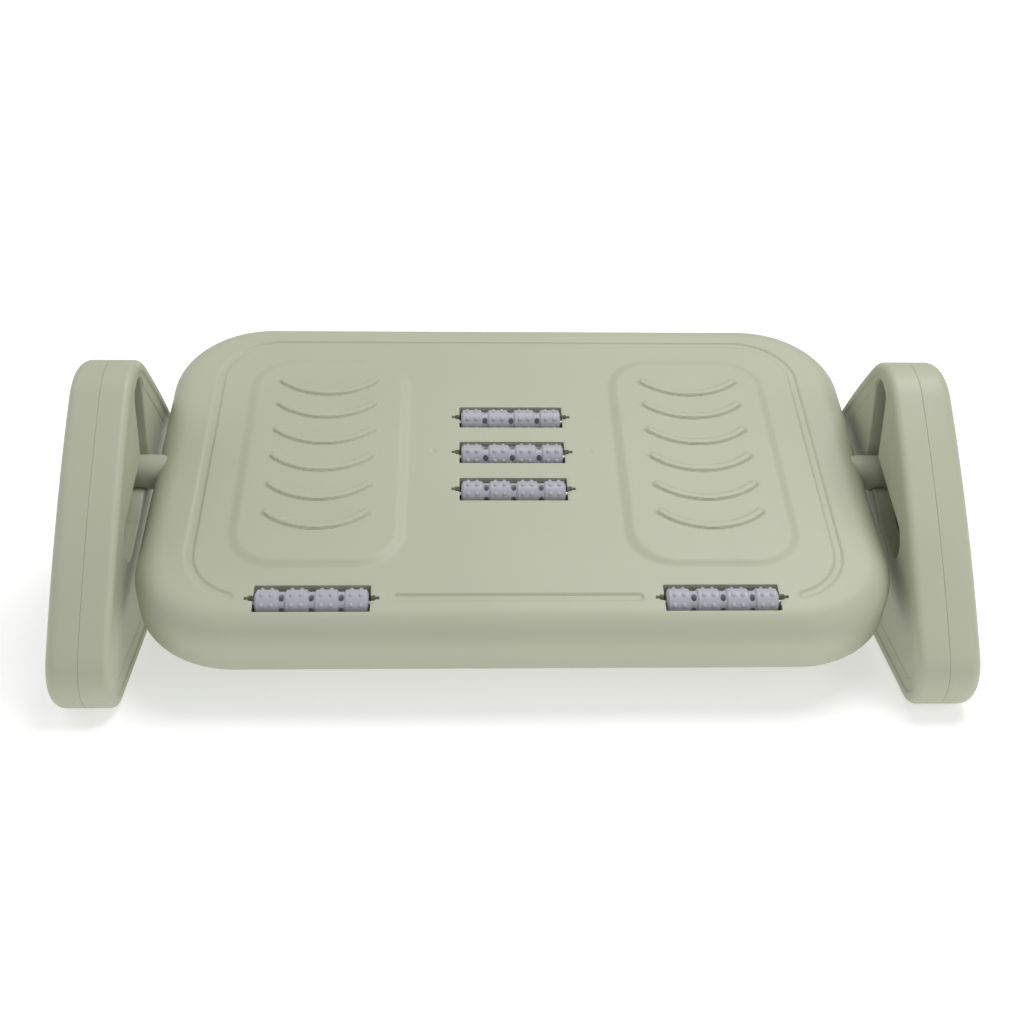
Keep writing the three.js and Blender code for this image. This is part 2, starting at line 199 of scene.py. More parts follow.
# ---------------------------------------------------------------- studio values, in metres
FLOOR_HALF_SIZE = 6
FLOOR_GLOW_DISTANCE = (0.7, 2.2)
FLOOR_GLOW_STRENGTH = (0.48, 1.1)
WORLD_STRENGTH = 0.36
LIGHTS = [                    # name, place, what it looks at, diameter, power in watts
    ("key", (0.6, 0.3, 1.9), (0, 0, 0.1), 1.3, 23),
    ("fill", (-1.4, 0.4, 1.3), (0, 0, 0.1), 1.4, 6.5),
    ("front", (1.1, -0.9, 0.9), (0.2, 0, 0.1), 0.8, 3),
    ("front_card", (0, -1.3, 0.7), (0, 0, 0.1), 0.5, 0.9),
]
CAMERA_PLACE = (-0.0339, -0.8289, 0.4715)
CAMERA_FORWARD = (0.0372, 0.8967, -0.4410)
CAMERA_ROLL = 1.02            # in degrees
CAMERA_SENSOR = 36            # sensor and lens in millimetres
CAMERA_LENS = 50.95


# ---------------------------------------------------------------- places
def deck_place(points):
    """Points of the platform's own frame, in the row frame, in millimetres."""
    x, v, n = np.asarray(points, float).T
    y = PIVOT[1] + v * math.cos(TILT) - n * math.sin(TILT)
    z = PIVOT[2] + v * math.sin(TILT) + n * math.cos(TILT)
    return np.column_stack([x, y, z])


def leg_place(side):
    """A function that takes (y, z, x) of a leg into the row frame; side is -1 for the left leg."""
    def place(points):
        y, z, x = np.asarray(points, float).T
        return np.column_stack([side * x, y + PIVOT[1], z])
    return place


def peg_place(side):
    """The same for a peg, with z from the tilt axis too."""
    def place(points):
        y, z, x = np.asarray(points, float).T
        return np.column_stack([side * x, y + PIVOT[1], z + PIVOT[2]])
    return place


# ---------------------------------------------------------------- meshes
def make_piece(name, points, faces, place=None):
    """A closed mesh with its faces turned outwards; points are in millimetres."""
    points = place(points) if place else np.asarray(points, float)
    mesh = bpy.data.meshes.new(name)
    distinct = (list(dict.fromkeys(face)) for face in faces)
    mesh.from_pydata((points * MM).tolist(), [], [face for face in distinct if len(face) > 2])
    piece = bpy.data.objects.new(name, mesh)
    bpy.context.scene.collection.objects.link(piece)
    face_outwards(piece)
    return piece


def face_outwards(piece):
    """Turns the faces outwards. Stops if the mesh is open."""
    shape = bmesh.new()
    shape.from_mesh(piece.data)
    bmesh.ops.recalc_face_normals(shape, faces=shape.faces)
    if shape.calc_volume(signed=True) < 0:
        bmesh.ops.reverse_faces(shape, faces=shape.faces)
    open_edges = sum(not edge.is_manifold for edge in shape.edges)
    shape.to_mesh(piece.data)
    shape.free()
    if open_edges:
        raise RuntimeError(f"{piece.name} has {open_edges} open edges")


def volume_of(piece):
    shape = bmesh.new()
    shape.from_mesh(piece.data)
    volume = shape.calc_volume()
    shape.free()
    return volume


def loft(name, rings, place=None):
    """A closed body through rings [(outline, height), ...] that have the same number of points."""
    count = len(rings[0][0])
    layers = [np.column_stack([outline, np.full(count, height)]) for outline, height in rings]
    points = np.concatenate(layers)
    faces = [list(range(count))]
    for ring in range(len(rings) - 1):
        low = ring * count
        for i in range(count):
            j = (i + 1) % count
            faces.append((low + i, low + j, low + count + j, low + count + i))
    faces.append([(len(rings) - 1) * count + i for i in range(count)])
    return make_piece(name, points, faces, place)


def circle(radius, centre=(0, 0), sides=64):
    angles = np.linspace(0, 2 * math.pi, sides, endpoint=False)
    return np.column_stack([centre[0] + radius * np.cos(angles), centre[1] + radius * np.sin(angles)])


def turned(name, profile, place=None, centre=(0, 0), sides=64):
    """A lathe body: profile is [(radius, height), ...] from one end to the other."""
    return loft(name, [(circle(radius, centre, sides), height) for radius, height in profile], place)


def block(name, low, high, place=None):
    corners = [(low[0], low[1]), (high[0], low[1]), (high[0], high[1]), (low[0], high[1])]
    return loft(name, [(np.array(corners), low[2]), (np.array(corners), high[2])], place)


def combine(piece, tool, operation="DIFFERENCE"):
    """Cuts or joins a tool into a piece, and removes the tool. Stops if the piece didn't change."""
    volume = volume_of(piece)
    modifier = piece.modifiers.new("combine", "BOOLEAN")
    modifier.operation = operation
    modifier.object = tool
    modifier.solver = "MANIFOLD"
    graph = bpy.context.evaluated_depsgraph_get()
    before = piece.data
    piece.data = bpy.data.meshes.new_from_object(piece.evaluated_get(graph))
    piece.modifiers.clear()
    bpy.data.meshes.remove(before)
    bpy.data.objects.remove(tool)
    if abs(volume_of(piece) - volume) < 1e-6 * volume:
        raise RuntimeError(f"{operation} changed nothing on {piece.name}")
    return piece


def smooth(piece, sharp_from=32):
    """Smooth shading, apart from edges that turn by more than an angle in degrees."""
    piece.data.shade_smooth()
    piece.data.set_sharp_from_angle(angle=math.radians(sharp_from))
    return piece


def finish_piece(piece, body, slot, material, *nodes):
    piece.data.materials.clear()
    piece.data.materials.append(material)
    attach(piece, body)
    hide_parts(*nodes)


# ---------------------------------------------------------------- materials
def new_material(name):
    material = bpy.data.materials.new(name)
    material.use_nodes = True
    tree = material.node_tree
    return material, tree, tree.nodes["Principled BSDF"]


def noise(tree, scale, detail=2):
    coordinates = tree.nodes.new("ShaderNodeTexCoord")
    texture = tree.nodes.new("ShaderNodeTexNoise")
    texture.inputs["Scale"].default_value = scale
    texture.inputs["Detail"].default_value = detail
    tree.links.new(coordinates.outputs["Object"], texture.inputs["Vector"])
    return texture.outputs["Fac"]


def tinted(tree, shader, colour, spread, scale):
    """Base colour that drifts a little around the stated one."""
    ramp = tree.nodes.new("ShaderNodeValToRGB")
    ramp.color_ramp.elements[0].position = 0.3
    ramp.color_ramp.elements[1].position = 0.7
    for element, factor in zip(ramp.color_ramp.elements, (1 - spread, 1 + spread)):
        element.color = [channel * factor for channel in colour] + [1]
    tree.links.new(noise(tree, scale), ramp.inputs["Fac"])
    tree.links.new(ramp.outputs["Color"], shader.inputs["Base Color"])


def varied_roughness(tree, shader, low, high, scale):
    spread = tree.nodes.new("ShaderNodeMapRange")
    spread.inputs["To Min"].default_value = low
    spread.inputs["To Max"].default_value = high
    tree.links.new(noise(tree, scale), spread.inputs["Value"])
    tree.links.new(spread.outputs["Result"], shader.inputs["Roughness"])


def grained(tree, shader, scale, height):
    bump = tree.nodes.new("ShaderNodeBump")
    bump.inputs["Strength"].default_value = 0.5
    bump.inputs["Distance"].default_value = height * MM
    tree.links.new(noise(tree, scale, 3), bump.inputs["Height"])
    tree.links.new(bump.outputs["Normal"], shader.inputs["Normal"])


def moulded_plastic(name, colour, roughness, grain):
    material, tree, shader = new_material(name)
    tinted(tree, shader, colour, 0.025, 9)
    varied_roughness(tree, shader, roughness - 0.04, roughness + 0.05, 60)
    grained(tree, shader, 1500, grain)
    shader.inputs["IOR"].default_value = 1.49
    return material


def zinc_steel(name):
    material, tree, shader = new_material(name)
    tinted(tree, shader, (0.55, 0.55, 0.54), 0.06, 300)
    varied_roughness(tree, shader, 0.24, 0.4, 700)
    grained(tree, shader, 2500, 0.03)
    shader.inputs["Metallic"].default_value = 1
    return material


def matt_rubber(name):
    material, tree, shader = new_material(name)
    tinted(tree, shader, (0.018, 0.018, 0.017), 0.15, 80)
    varied_roughness(tree, shader, 0.75, 0.9, 200)
    grained(tree, shader, 900, 0.12)
    return material


SAGE = moulded_plastic("sage_plastic", (0.445, 0.467, 0.35), 0.5, 0.05)
SAGE_HIDDEN = moulded_plastic("sage_plastic_hidden", (0.39, 0.42, 0.3), 0.58, 0.06)
LAVENDER = moulded_plastic("roller_plastic", (0.41, 0.41, 0.47), 0.4, 0.02)
STEEL = zinc_steel("zinc_steel")
RUBBER = matt_rubber("matt_rubber")


# ---------------------------------------------------------------- outlines
def arc(centre, radius, start, end, steps):
    angles = np.radians(np.linspace(start, end, steps + 1))
    return np.column_stack([centre[0] + radius * np.cos(angles), centre[1] + radius * np.sin(angles)])


def rounded_rectangle(half_width, half_length, centre_v, corner, inset, steps=24):
    """The outline at a distance inside a rounded rectangle."""
    r = max(corner - inset, 0.2)
    x = half_width - inset - r
    v = half_length - inset - r
    return np.concatenate([
        arc((x, centre_v + v), r, 0, 90, steps),
        arc((-x, centre_v + v), r, 90, 180, steps),
        arc((-x, centre_v - v), r, 180, 270, steps),
        arc((x, centre_v - v), r, 270, 360, steps),
    ])


def deck_outline(inset):
    return rounded_rectangle(DECK_HALF_WIDTH, DECK_HALF_LENGTH, DECK_CENTRE_V, DECK_CORNER, inset)


def leg_outline(inset):
    """Leg seen from the side: two bottom corners, a round top, and bowed sides tangent to both."""
    corner_z = LEG_BASE_Z + LEG_CORNER_R
    top_z = LEG_TOP_Z - LEG_TOP_R
    rise = top_z - corner_z
    apart = math.hypot(LEG_HALF_BASE, rise)
    to_corner = LEG_SIDE_R - LEG_CORNER_R
    to_top = LEG_SIDE_R - LEG_TOP_R
    along = (to_top ** 2 - to_corner ** 2 + apart ** 2) / (2 * apart)
    across = math.sqrt(to_top ** 2 - along ** 2)
    side_y = along * LEG_HALF_BASE / apart - across * rise / apart
    side_z = top_z - along * rise / apart - across * LEG_HALF_BASE / apart
    corner_to = math.degrees(math.atan2(corner_z - side_z, LEG_HALF_BASE - side_y))
    top_from = math.degrees(math.atan2(top_z - side_z, -side_y))
    half = np.concatenate([
        arc((LEG_HALF_BASE, corner_z), LEG_CORNER_R - inset, -90, corner_to, 32),
        arc((side_y, side_z), LEG_SIDE_R - inset, corner_to, top_from, 24)[1:-1],
        arc((0, top_z), LEG_TOP_R - inset, top_from, 90, 24),
    ])
    mirrored = half[:-1][::-1] * (-1, 1)
    return np.concatenate([half, mirrored]) + (LEG_CENTRE_Y, 0)


def guide_outline(grow=0.0):
    """Guide slot: a tall slot over a round seat, with a ramp down to a low pocket in front of it."""
    side = GUIDE_HALF_WIDTH + grow
    pocket = POCKET_R + grow
    roof = math.radians(POCKET_ROOF)
    roof_y = POCKET_Y + pocket * math.sin(roof)
    roof_z = POCKET_Z + pocket * math.cos(roof)
    corner_y = side + ROOF_CORNER[-1][0]
    corner_z = roof_z + (roof_y - corner_y) * math.tan(roof)
    rear = np.concatenate([
        arc((0, GUIDE_TOP_Z - GUIDE_HALF_WIDTH), side, 90, 0, 20),
        [(side, PIVOT[2] + 2)],
        arc((0, PIVOT[2]), SEAT_R + grow, -10, -90, 16),
    ])
    front = np.concatenate([
        arc((0, GUIDE_TOP_Z - GUIDE_HALF_WIDTH), side, 90, 0, 20)[1:],
        [(side + out, corner_z + up) for out, up in ROOF_CORNER],
        arc((POCKET_Y, POCKET_Z), pocket, 90 - POCKET_ROOF, -90 - POCKET_RAMP, 28),
        [(y, z - grow) for y, z in RAMP],
        arc((0, PIVOT[2]), SEAT_R + grow, -38, -90, 10)[:-1],
    ])
    mirrored = front[::-1] * (-1, 1)
    return np.concatenate([rear, mirrored])[::-1]


# ---------------------------------------------------------------- the platform's relief
def ease(value):
    t = np.clip(value, 0, 1)
    return t * t * (3 - 2 * t)


def outside(x, v, half_width, half_length, corner):
    """Distance outside a rounded rectangle, negative inside."""
    a = np.abs(x) - half_width + corner
    b = np.abs(v) - half_length + corner
    return np.hypot(np.maximum(a, 0), np.maximum(b, 0)) + np.minimum(np.maximum(a, b), 0) - corner


def groove(x, v):
    """The line round the platform, open at the front rollers."""
    middle = sum(GROOVE_V) / 2
    half = (GROOVE_V[1] - GROOVE_V[0]) / 2
    away = np.abs(outside(x, v - middle, GROOVE_X, half, GROOVE_CORNER))
    cap = GROOVE_HALF_WIDTH
    front = np.hypot(np.maximum(np.abs(x) - GROOVE_FRONT_END + cap, 0), away)
    corner = np.hypot(np.maximum(GROOVE_CORNER_END + cap - np.abs(x), 0), away)
    away = np.where(v < GROOVE_V[0] + 2 * cap, np.minimum(front, corner), away)
    return GROOVE_DEPTH * ease((GROOVE_HALF_WIDTH - away) / GROOVE_SLOPE)


def foot_area(x, v):
    middle = sum(PAD_V) / 2
    half = (PAD_V[1] - PAD_V[0]) / 2
    away = outside(np.abs(x) - PAD_X, v - middle, PAD_HALF_WIDTH, half, PAD_CORNER)
    return PAD_HEIGHT * ease(-away / PAD_BEVEL)


def ridges(x, v):
    """Crescents, steep on the edge nearer the user and soft on the other."""
    half_width = RIDGE_WIDTH / 2
    centre_r = RIDGE_R - half_width
    half_angle = math.asin((RIDGE_HALF_CHORD - half_width) / centre_r)
    total = np.zeros_like(x)
    for lowest in RIDGE_V:
        across = np.abs(x) - RIDGE_X
        down = lowest + RIDGE_R - v
        angle = np.arctan2(across, down)
        beyond = np.maximum(np.abs(angle) - half_angle, 0) * centre_r
        offset = np.hypot(across, down) - centre_r
        near_edge = ease((half_width - offset) / RIDGE_STEEP)
        far_edge = ease((half_width + offset) / RIDGE_SOFT)
        total = np.maximum(total, near_edge * far_edge * ease(1 - beyond / half_width))
    return RIDGE_HEIGHT * total


def slot_edges(x, v):
    """A small roll into each roller slot."""
    drop = np.zeros_like(x)
    for slot_x, slot_v, _ in ROLLERS.values():
        away = outside(x - slot_x, v - slot_v, SLOT_LENGTH / 2, SLOT_WIDTH / 2, 0.5)
        drop = np.maximum(drop, ease(1 - away / SLOT_ROLL))
    return SLOT_ROLL_DEPTH * drop


def dimples(x, v):
    drop = np.zeros_like(x)
    for dimple_x, dimple_v in DIMPLES:
        drop = np.maximum(drop, ease(1 - np.hypot(x - dimple_x, v - dimple_v) / DIMPLE_R))
    return DIMPLE_DEPTH * drop


def top_height(x, v):
    raised = foot_area(x, v) + ridges(x, v)
    return DECK_TOP + raised - groove(x, v) - slot_edges(x, v) - dimples(x, v)


# ---------------------------------------------------------------- platform
def deck_skin():
    """Closed block with the finished top: a grid in the middle, and rings out over the edge."""
    flat_x = DECK_HALF_WIDTH - DECK_CORNER
    flat_v = DECK_HALF_LENGTH - DECK_CORNER
    columns = int(2 * flat_x / GRID_STEP)
    rows = int(2 * flat_v / GRID_STEP)
    xs = np.linspace(-flat_x, flat_x, columns + 1)
    vs = np.linspace(-flat_v, flat_v, rows + 1) + DECK_CENTRE_V
    grid_x, grid_v = np.meshgrid(xs, vs, indexing="ij")
    grid = np.column_stack([grid_x.ravel(), grid_v.ravel(), top_height(grid_x, grid_v).ravel()])
    ids = np.arange(len(grid)).reshape(columns + 1, rows + 1)
    corners = [ids[:-1, :-1], ids[1:, :-1], ids[1:, 1:], ids[:-1, 1:]]
    faces = np.stack(corners, axis=-1).reshape(-1, 4).tolist()

    turns = []
    starts = []
    edges = [ids[columns, :], ids[::-1, rows], ids[0, ::-1], ids[:, 0]]
    for quarter, edge in enumerate(edges):
        starts.extend(edge[:-1])
        turns.extend([quarter * 90] * (len(edge) - 1))
        starts.extend([edge[-1]] * CORNER_STEPS)
        turns.extend(quarter * 90 + 90 * i / CORNER_STEPS for i in range(CORNER_STEPS))
    base = grid[starts, :2]
    outward = np.column_stack([np.cos(np.radians(turns)), np.sin(np.radians(turns))])

    points = [grid]
    previous = np.array(starts)
    total = len(grid)
    count = len(starts)

    def add_ring(reach, heights):
        nonlocal previous, total
        places = base + outward * reach
        if heights is None:
            heights = top_height(places[:, 0], places[:, 1])
        points.append(np.column_stack([places, np.broadcast_to(heights, count)]))
        ring = total + np.arange(count)
        band = [previous, ring, np.roll(ring, -1), np.roll(previous, -1)]
        faces.extend(np.column_stack(band).tolist())
        previous = ring
        total += count

    flat_reach = DECK_CORNER - DECK_EDGE_R
    flat_rings = int(flat_reach / GRID_STEP)
    for i in range(1, flat_rings + 1):
        add_ring(flat_reach * i / flat_rings, None)
    edge_steps = 24
    for i in range(1, edge_steps + 1):
        angle = math.radians(90 * i / edge_steps)
        height = DECK_TOP - DECK_EDGE_R * (1 - math.cos(angle))
        add_ring(flat_reach + DECK_EDGE_R * math.sin(angle), height)
    for height in np.linspace(DECK_TOP - DECK_EDGE_R, SKIRT_BOTTOM + DECK_RIM_R, 6)[1:]:
        add_ring(DECK_CORNER, height)
    rim_steps = 6
    for i in range(1, rim_steps + 1):
        angle = math.radians(90 * i / rim_steps)
        height = SKIRT_BOTTOM + DECK_RIM_R - DECK_RIM_R * math.sin(angle)
        add_ring(DECK_CORNER - DECK_RIM_R * (1 - math.cos(angle)), height)
    faces.append(previous.tolist())
    return make_piece("platform_top", np.concatenate(points), faces, deck_place)


def slot_cutter(x, v):
    slot = rounded_rectangle(SLOT_LENGTH / 2, SLOT_WIDTH / 2, v, 0.8, 0, 4) + (x, 0)
    return loft("slot_cutter", [(slot, SLOT_FLOOR), (slot, DECK_TOP + 4)], deck_place)


def notch_cutter(x, v):
    """Stepped seats for the axle's ends."""
    outline = np.array(NOTCH + [(-a, -b) for a, b in NOTCH]) + (x, v)
    floor = ROLLER_AXIS_N - AXLE_R - GAP
    return loft("notch_cutter", [(outline, floor), (outline, DECK_TOP + 4)], deck_place)


def deck_top():
    deck = deck_skin()
    inner_edge = DECK_EDGE_R - DECK_WALL
    rings = [(deck_outline(DECK_WALL), SKIRT_BOTTOM - 1)]
    steps = 8
    for i in range(steps + 1):
        angle = math.radians(90 * i / steps)
        rings.append((deck_outline(DECK_WALL + inner_edge * (1 - math.cos(angle))),
                      DECK_TOP - DECK_EDGE_R + inner_edge * math.sin(angle)))
    combine(deck, loft("hollow", rings, deck_place))
    for x, v, _ in ROLLERS.values():
        half_x = SLOT_LENGTH / 2 + SLOT_WELL[0]
        half_v = SLOT_WIDTH / 2 + SLOT_WELL[1]
        low = (x - half_x, v - half_v, SLOT_FLOOR - 2)
        high = (x + half_x, v + half_v, DECK_TOP - 2.6)
        well = block("well", low, high, deck_place)
        combine(deck, well, "UNION")
        combine(deck, slot_cutter(x, v))
        combine(deck, notch_cutter(x, v))
    for side in (-1, 1):
        bore = [(PEG_R + GAP, PEG_INNER_X - GAP), (PEG_R + GAP, DECK_HALF_WIDTH + 6)]
        place = lambda p, side=side: deck_place(np.column_stack([side * p[:, 2], p[:, 0], p[:, 1]]))
        combine(deck, turned("bore", bore, place))
    smooth(deck)
    finish_piece(deck, "platform", "sage_plastic", SAGE, "deck_top_shell")


def bottom_cover():
    low = SKIRT_BOTTOM + COVER_RECESS
    inset = DECK_WALL + GAP
    rings = [(deck_outline(inset + 0.8), low), (deck_outline(inset), low + 0.8),
             (deck_outline(inset), low + COVER_THICK)]
    cover = loft("underside_cover", rings, deck_place)
    for centre in DECK_SCREWS:
        hole = [(SCREW_HOLE_R, low - 1), (SCREW_HOLE_R, low + COVER_THICK + 1)]
        combine(cover, turned("hole", hole, deck_place, centre, 32))
        seat = [(4.4, low - 0.1), (4, low + 0.3), (4, low + COVER_SEAT_DEPTH)]
        combine(cover, turned("seat", seat, deck_place, centre, 40))
    smooth(cover)
    finish_piece(cover, "platform", "sage_plastic_hidden", SAGE_HIDDEN, "deck_bottom_cover")


# ---------------------------------------------------------------- rollers
def roller(name, x, v, phase):
    """Four drums with rows of bumps, joined by necks with radial holes; phase is in degrees."""
    full = 4 * DRUM_LENGTH + 3 * NECK_LENGTH
    pitch = DRUM_LENGTH + NECK_LENGTH
    along = np.linspace(-full / 2, full / 2, 256)
    around = np.radians(np.linspace(0, 360, 224, endpoint=False))
    a, t = np.meshgrid(along, around, indexing="ij")
    cell = (a + full / 2) % pitch
    from_drum = np.abs(cell - DRUM_LENGTH / 2)
    drum = ease((DRUM_LENGTH / 2 - from_drum) / DRUM_FLANK)
    radius = ROLLER_NECK_R + (ROLLER_R - ROLLER_NECK_R) * drum
    end = np.minimum(a + full / 2, full / 2 - a)
    radius -= ROLLER_END[1] * ease(1 - end / ROLLER_END[0])

    def wrapped(angle, spacing, offset):
        step = math.radians(spacing)
        return (angle - math.radians(offset) + step / 2) % step - step / 2

    bump_turn = wrapped(t, BUMP_SPACING, phase + BUMP_TURN) * ROLLER_R
    bump_side = np.abs(from_drum - BUMP_FROM_MIDDLE)
    bump = np.clip(1 - (np.hypot(bump_turn, bump_side) / BUMP_R) ** 2, 0, 1)
    radius += BUMP_HEIGHT * np.sqrt(bump) * (drum > 0.9)
    hole_turn = wrapped(t, HOLE_SPACING, phase) * ROLLER_NECK_R
    hole_side = cell - DRUM_LENGTH - NECK_LENGTH / 2
    hole = (hole_turn / HOLE_SIZE[0]) ** 2 + (hole_side / HOLE_SIZE[1]) ** 2
    radius -= HOLE_DEPTH * ease((1.1 - hole) / 0.2) * (cell > DRUM_LENGTH)

    # a positive turn is up and away from the user
    facing = math.radians(VIEW_TURN) - t
    points = np.stack([a, radius * np.cos(facing), radius * np.sin(facing)], axis=-1).reshape(-1, 3)
    rows, columns = a.shape
    bore = [np.column_stack([np.full(columns, height), ROLLER_BORE_R * np.cos(facing[0]),
                             ROLLER_BORE_R * np.sin(facing[0])]) for height in (full / 2, -full / 2)]
    points = np.concatenate([points] + bore) + (x, v, ROLLER_AXIS_N)
    ids = np.arange(len(points)).reshape(rows + 2, columns)
    after = np.roll(ids, -1, axis=1)
    below = np.roll(ids, -1, axis=0)
    corners = [ids, after, np.roll(below, -1, axis=1), below]
    faces = np.stack(corners, axis=-1).reshape(-1, 4).tolist()
    piece = make_piece(f"massage_roller_{name}", points, faces, deck_place)
    smooth(piece, sharp_from=50)
    finish_piece(piece, f"roller_{name}", "roller_plastic", LAVENDER, f"roller_{name}")


def axle(name, x, v):
    ends = [(AXLE_R - 0.4, -AXLE_HALF_LENGTH), (AXLE_R, -AXLE_HALF_LENGTH + 0.4)]
    profile = ends + [(radius, -height) for radius, height in reversed(ends)]
    place = lambda p: deck_place(np.column_stack([p[:, 2] + x, p[:, 0] + v, p[:, 1] + ROLLER_AXIS_N]))
    piece = smooth(turned(f"axle_{name}", profile, place, sides=40))
    finish_piece(piece, "platform", "steel", STEEL, f"roller_axle_{name}")


# ---------------------------------------------------------------- legs
def rounded_edge(radius, from_x, steps, direction):
    """Rings of the leg's outline that roll over an edge; direction is where the face looks along x."""
    rings = []
    for i in range(steps + 1):
        angle = math.radians(90 * i / steps)
        outline = leg_outline(radius * (1 - math.cos(angle)))
        rings.append((outline, from_x + direction * radius * math.sin(angle)))
    return rings


def foot_pocket(y, place):
    middle = (LEG_INNER_X + LEG_OUTER_X) / 2
    low = (y - FOOT_LENGTH / 2 - GAP, -1, middle - FOOT_WIDTH / 2 - GAP)
    high = (y + FOOT_LENGTH / 2 + GAP, FOOT_THICK + GAP, middle + FOOT_WIDTH / 2 + GAP)
    return block("foot_pocket", low, high, place)


def leg_inner(word, place):
    """Inner half: rounded lip, shallow steps down to the face, and the guide slot with its collar."""
    dish = LEG_INNER_X + LEG_DISH
    rings = [(leg_outline(LEG_SEAM), LEG_PARTING_X), (leg_outline(0), LEG_PARTING_X - LEG_SEAM)]
    rings += rounded_edge(LEG_LIP_R, LEG_INNER_X + LEG_LIP_R, 8, -1)
    rings += [(leg_outline(inset), LEG_INNER_X + depth) for inset, depth in LEG_FACE_STEPS]
    shell = loft(f"leg_inner_{word}", rings, place)
    wall = dish + LEG_WALL - 1
    hollow = [(leg_outline(LEG_WALL + 1), wall), (leg_outline(LEG_WALL), wall + 2),
              (leg_outline(LEG_WALL), LEG_PARTING_X + 1)]
    combine(shell, loft("hollow", hollow, place))
    collar = guide_outline(GUIDE_WALL)
    collar_rings = [(collar, dish + 0.6), (collar, LEG_INNER_X + GUIDE_DEPTH)]
    combine(shell, loft("collar", collar_rings, place), "UNION")
    guide = [(guide_outline(1), dish - 3), (guide_outline(1), dish - 0.1),
             (guide_outline(0.3), dish + 0.3), (guide_outline(), dish + 1),
             (guide_outline(), LEG_INNER_X + GUIDE_DEPTH + 1)]
    combine(shell, loft("guide", guide, place))
    for centre in LEG_SCREWS:
        boss = turned("boss", [(6, dish + 0.6), (6, LEG_PARTING_X - GAP)], place, centre, 40)
        combine(shell, boss, "UNION")
        hole = [(SCREW_HOLE_R, LEG_INNER_X - 1), (SCREW_HOLE_R, LEG_PARTING_X + 1)]
        combine(shell, turned("hole", hole, place, centre, 32))
        seat = [(3.8, LEG_INNER_X - 1), (3.8, LEG_INNER_X + LEG_SEAT_DEPTH)]
        combine(shell, turned("seat", seat, place, centre, 40))
    for y in FOOT_Y.values():
        combine(shell, foot_pocket(y, place))
    smooth(shell, sharp_from=12)
    finish_piece(shell, "legs", "sage_plastic", SAGE, f"leg_inner_shell_{word}")


def leg_outer(word, place):
    """Outer half: a plain shell with a rolled edge and the bosses for the screws."""
    start = LEG_PARTING_X + LEG_HALVES_APART
    rings = [(leg_outline(LEG_SEAM), start), (leg_outline(0), start + LEG_SEAM)]
    rings += rounded_edge(LEG_RIM_R, LEG_OUTER_X - LEG_RIM_R, 12, 1)
    shell = loft(f"leg_outer_{word}", rings, place)
    inside = LEG_OUTER_X - LEG_WALL
    hollow = [(leg_outline(LEG_WALL), start - 1), (leg_outline(LEG_WALL), LEG_OUTER_X - 11),
              (leg_outline(LEG_WALL + 7), inside)]
    combine(shell, loft("hollow", hollow, place))
    for centre in LEG_SCREWS:
        combine(shell, turned("boss", [(5, start), (5, inside + 1)], place, centre, 40), "UNION")
        pilot = [(SCREW_HOLE_R, start - 1), (SCREW_HOLE_R, start + 12)]
        combine(shell, turned("pilot", pilot, place, centre, 32))
    for y in FOOT_Y.values():
        combine(shell, foot_pocket(y, place))
    smooth(shell)
    finish_piece(shell, "legs", "sage_plastic", SAGE, f"leg_outer_shell_{word}")


def rubber_foot(word, end, y, place):
    """Anti-slip pad with rounded corners and shallow grooves across its underside."""
    middle = (LEG_INNER_X + LEG_OUTER_X) / 2
    centre = np.array([y, middle])

    def outline(inset):
        return rounded_rectangle(FOOT_LENGTH / 2, FOOT_WIDTH / 2, 0, FOOT_CORNER, inset, 8) + centre

    across = lambda p: place(np.column_stack([p[:, 0], p[:, 2], p[:, 1]]))
    rings = [(outline(0.5), 0), (outline(0), 0.5), (outline(0), FOOT_THICK)]
    foot = loft(f"rubber_foot_{end}_{word}", rings, across)
    for step in range(-4, 5):
        mid = y + TREAD_STEP * step
        low = (mid - TREAD_HALF_WIDTH, middle - FOOT_WIDTH, -1)
        high = (mid + TREAD_HALF_WIDTH, middle + FOOT_WIDTH, TREAD_DEPTH)
        combine(foot, block("groove", low, high, across))
    smooth(foot)
    finish_piece(foot, "legs", "rubber", RUBBER, f"foot_pad_{end}_{word}")


# ---------------------------------------------------------------- pegs
def peg(word, place):
    profile = [(PEG_R - 0.6, PEG_INNER_X), (PEG_R, PEG_INNER_X + 0.6), (PEG_R, PEG_TIP_X - 0.8),
               (PEG_R - 0.8, PEG_TIP_X)]
    piece = turned(f"peg_{word}", profile, place)
    hole = [(SCREW_HOLE_R, PEG_TIP_X - 20), (SCREW_HOLE_R, PEG_TIP_X + 1)]
    combine(piece, turned("hole", hole, place, sides=32))
    smooth(piece)
    finish_piece(piece, "pegs", "sage_plastic", SAGE, f"pivot_peg_{word}")


def peg_cap(word, place):
    low = PEG_TIP_X + GAP
    high = low + PEG_CAP_THICK
    profile = [(PEG_CAP_R - 0.4, low), (PEG_CAP_R, low + 0.4),
               (PEG_CAP_R, high - 0.7), (PEG_CAP_R - 0.7, high)]
    piece = turned(f"retaining_cap_{word}", profile, place)
    hole = [(CAP_HOLE_R, low - 1), (CAP_HOLE_R, high + 1)]
    combine(piece, turned("hole", hole, place, sides=32))
    smooth(piece)
    finish_piece(piece, "pegs", "sage_plastic_hidden", SAGE_HIDDEN, f"peg_cap_{word}")


